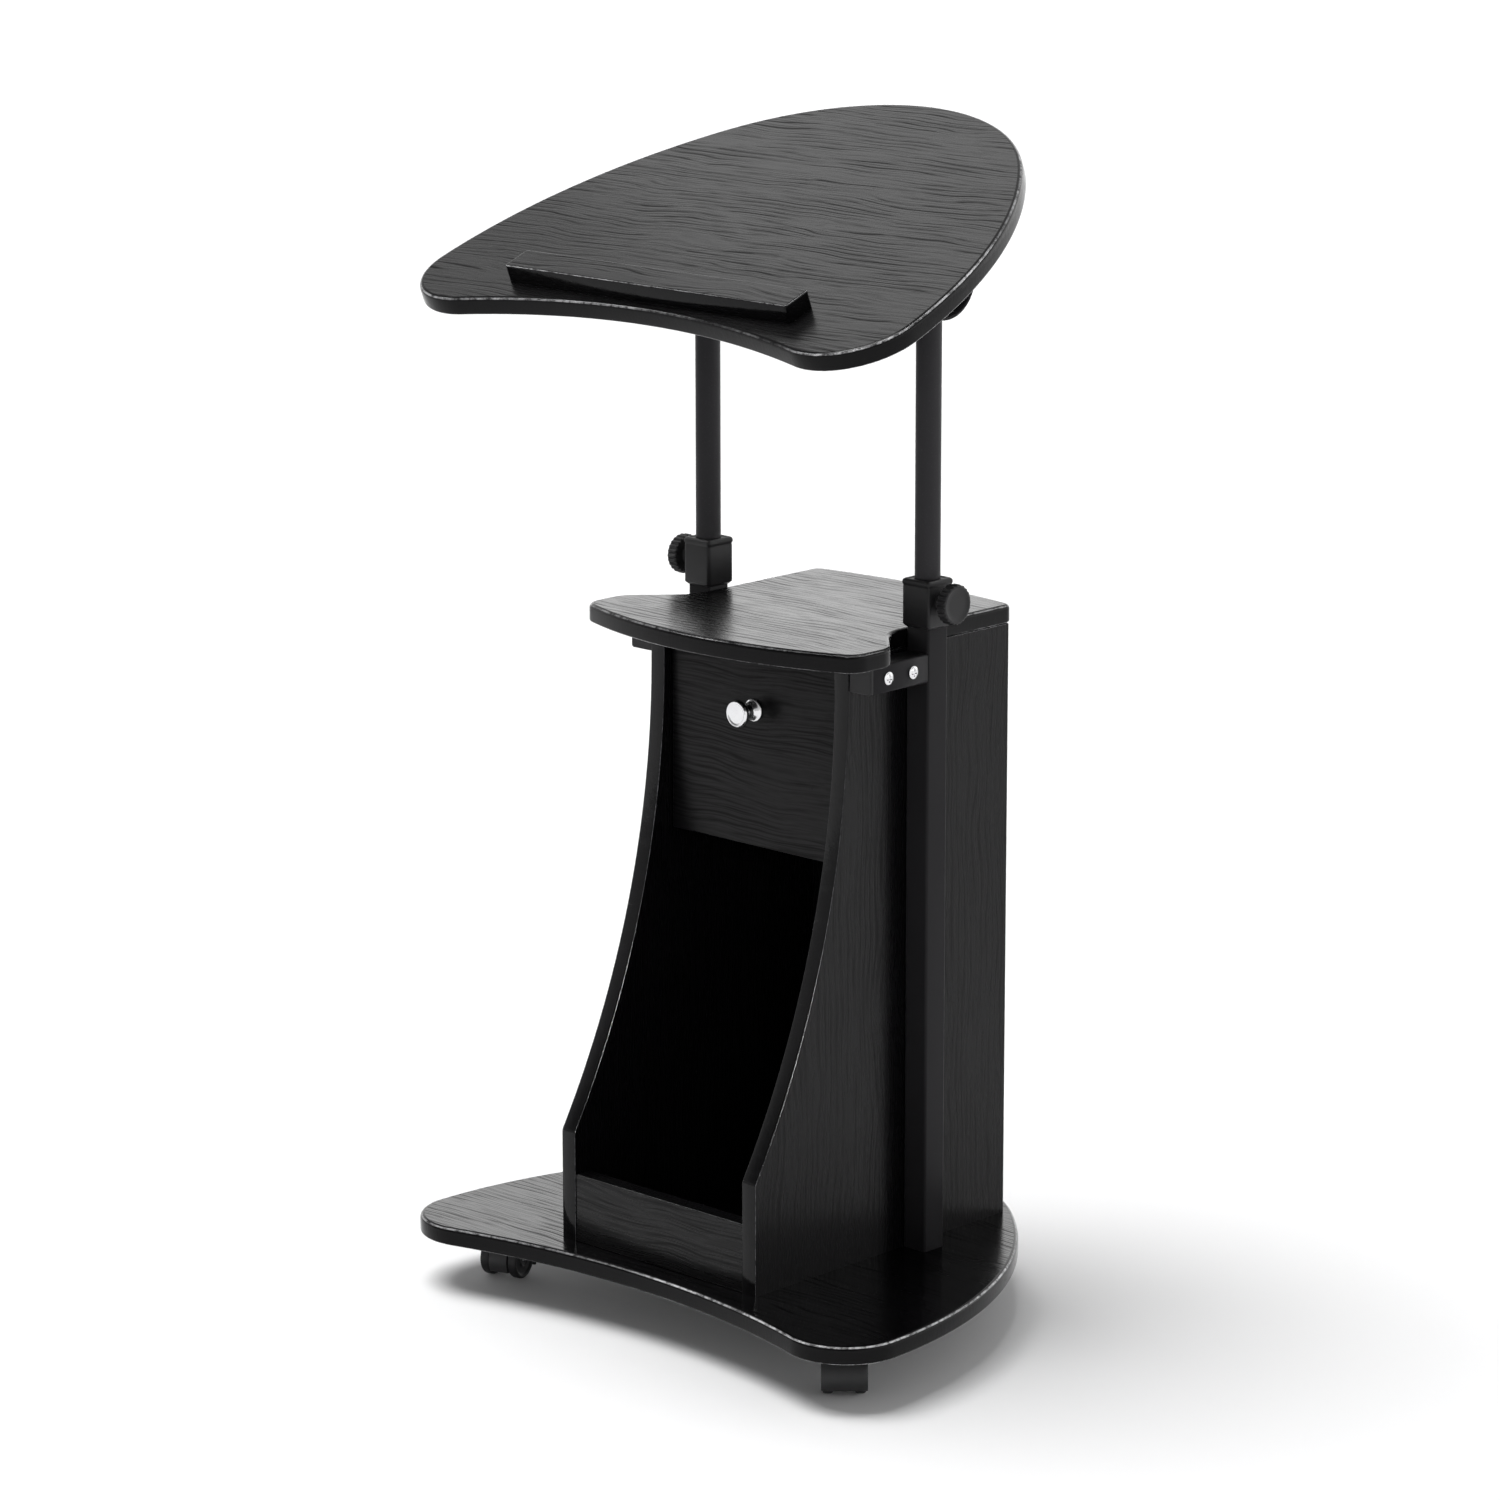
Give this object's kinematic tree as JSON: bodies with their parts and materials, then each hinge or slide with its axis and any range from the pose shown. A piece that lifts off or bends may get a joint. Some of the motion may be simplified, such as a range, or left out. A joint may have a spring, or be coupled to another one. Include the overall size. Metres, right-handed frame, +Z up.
{
  "type": "lectern podium",
  "caption": "Rolling lectern: tilting rounded-triangle desk with a book ledge on clamped telescopic posts, over a slim cabinet with a drawer and an open cubby.",
  "frame": {"origin": "on the floor, under the middle of the base board's outline", "axes": "+Z up, -Y towards the user (drawer and book ledge), +X to the right seen from the user's side"},
  "size_m": [0.549, 0.425, 1.0349],
  "materials": {
    "desk_laminate": "satin wood-grain laminate, charcoal black",
    "cabinet_laminate": "satin wood-grain laminate, black",
    "drawer_foil": "matte black foil",
    "beech": "plain beech",
    "zinc_steel": "zinc plated",
    "chrome": "polished",
    "black_steel": "satin black powder coat",
    "black_plastic": "fine texture, black",
    "hood_plastic": "black",
    "wheel_plastic": "black nylon",
    "runner_plastic": "pale grey"
  },
  "bodies": {
    "base": {"base_board": "desk_laminate", "left_side_panel": "cabinet_laminate", "right_side_panel": "cabinet_laminate", "back_panel": "cabinet_laminate", "kick_panel": "cabinet_laminate", "divider_panel": "cabinet_laminate", "top_shelf": "desk_laminate", "panel_screws": "zinc_steel", "panel_dowels": "beech", "drawer_runners": "runner_plastic", "runner_screws": "zinc_steel", "left_post": "black_steel", "right_post": "black_steel", "post_plugs": "black_plastic", "post_bolts": "zinc_steel", "post_arms": "black_steel", "arm_caps": "black_plastic", "arm_screws": "chrome", "left_collar": "black_plastic", "right_collar": "black_plastic", "caster_plates": "zinc_steel", "caster_screws": "zinc_steel"},
    "drawer": {"drawer_front": "cabinet_laminate", "drawer_left_side": "drawer_foil", "drawer_right_side": "drawer_foil", "drawer_back": "drawer_foil", "drawer_bottom": "drawer_foil", "drawer_pull": "chrome", "drawer_screws": "zinc_steel", "drawer_dowels": "beech"},
    "left_clamp": {"left_clamp_knob": "black_plastic", "left_clamp_stud": "zinc_steel"},
    "right_clamp": {"right_clamp_knob": "black_plastic", "right_clamp_stud": "zinc_steel"},
    "lift": {"left_tube": "black_steel", "right_tube": "black_steel", "tube_bushes": "black_plastic", "pivot_rod": "zinc_steel", "pivot_nuts": "zinc_steel", "tilt_bolts": "zinc_steel"},
    "desk": {"left_tilt_bracket": "black_steel", "right_tilt_bracket": "black_steel", "bracket_screws": "zinc_steel", "desk_board": "desk_laminate", "book_ledge": "desk_laminate", "ledge_screws": "zinc_steel"},
    "left_tilt_lock": {"left_tilt_knob": "black_plastic"},
    "right_tilt_lock": {"right_tilt_knob": "black_plastic"},
    "front_left_caster": {"front_left_hood": "hood_plastic"},
    "front_left_wheel_pair": {"front_left_wheels": "wheel_plastic", "front_left_axle": "zinc_steel"},
    "front_right_caster": {"front_right_hood": "hood_plastic"},
    "front_right_wheel_pair": {"front_right_wheels": "wheel_plastic", "front_right_axle": "zinc_steel"},
    "rear_left_caster": {"rear_left_hood": "hood_plastic"},
    "rear_left_wheel_pair": {"rear_left_wheels": "wheel_plastic", "rear_left_axle": "zinc_steel"},
    "rear_right_caster": {"rear_right_hood": "hood_plastic"},
    "rear_right_wheel_pair": {"rear_right_wheels": "wheel_plastic", "rear_right_axle": "zinc_steel"}
  },
  "joints": [
    {"name": "desk_height", "type": "slide", "parent": "base", "child": "lift", "axis": [0, 0, 1], "range_m": [-0.2, 0.06]},
    {"name": "desk_tilt", "type": "hinge", "parent": "lift", "child": "desk", "pos_m": [0, 0.04, 0.913], "axis": [1, 0, 0], "range_deg": [-21, 14]},
    {"name": "left_clamp_turn", "type": "hinge", "parent": "base", "child": "left_clamp", "pos_m": [-0.154, 0.04, 0.637], "axis": [-1, 0, 0], "range_deg": [0, 360]},
    {"name": "right_clamp_turn", "type": "hinge", "parent": "base", "child": "right_clamp", "pos_m": [0.154, 0.04, 0.637], "axis": [1, 0, 0], "range_deg": [0, 360]},
    {"name": "left_tilt_lock_turn", "type": "hinge", "parent": "lift", "child": "left_tilt_lock", "pos_m": [-0.109, 0.04, 0.891], "axis": [1, 0, 0], "range_deg": [0, 360]},
    {"name": "right_tilt_lock_turn", "type": "hinge", "parent": "lift", "child": "right_tilt_lock", "pos_m": [0.109, 0.04, 0.891], "axis": [-1, 0, 0], "range_deg": [0, 360]},
    {"name": "drawer_slide", "type": "slide", "parent": "base", "child": "drawer", "axis": [0, -1, 0], "range_m": [0, 0.12]},
    {"name": "front_left_swivel", "type": "hinge", "parent": "base", "child": "front_left_caster", "pos_m": [-0.207, -0.146, 0.035], "axis": [0, 0, 1], "continuous": true},
    {"name": "front_left_roll", "type": "hinge", "parent": "front_left_caster", "child": "front_left_wheel_pair", "pos_m": [-0.20963, -0.13739, 0.0175], "axis": [-0.9563, -0.2924, 0], "continuous": true},
    {"name": "front_right_swivel", "type": "hinge", "parent": "base", "child": "front_right_caster", "pos_m": [0.207, -0.146, 0.035], "axis": [0, 0, 1], "continuous": true},
    {"name": "front_right_roll", "type": "hinge", "parent": "front_right_caster", "child": "front_right_wheel_pair", "pos_m": [0.21322, -0.15251, 0.0175], "axis": [0.723, 0.6909, 0], "continuous": true},
    {"name": "rear_left_swivel", "type": "hinge", "parent": "base", "child": "rear_left_caster", "pos_m": [-0.075, 0.15, 0.035], "axis": [0, 0, 1], "continuous": true},
    {"name": "rear_left_roll", "type": "hinge", "parent": "rear_left_caster", "child": "rear_left_wheel_pair", "pos_m": [-0.0705, 0.15779, 0.0175], "axis": [-0.866, 0.5, 0], "continuous": true},
    {"name": "rear_right_swivel", "type": "hinge", "parent": "base", "child": "rear_right_caster", "pos_m": [0.075, 0.15, 0.035], "axis": [0, 0, 1], "continuous": true},
    {"name": "rear_right_roll", "type": "hinge", "parent": "rear_right_caster", "child": "rear_right_wheel_pair", "pos_m": [0.06654, 0.15308, 0.0175], "axis": [-0.342, -0.9397, 0], "continuous": true}
  ]
}
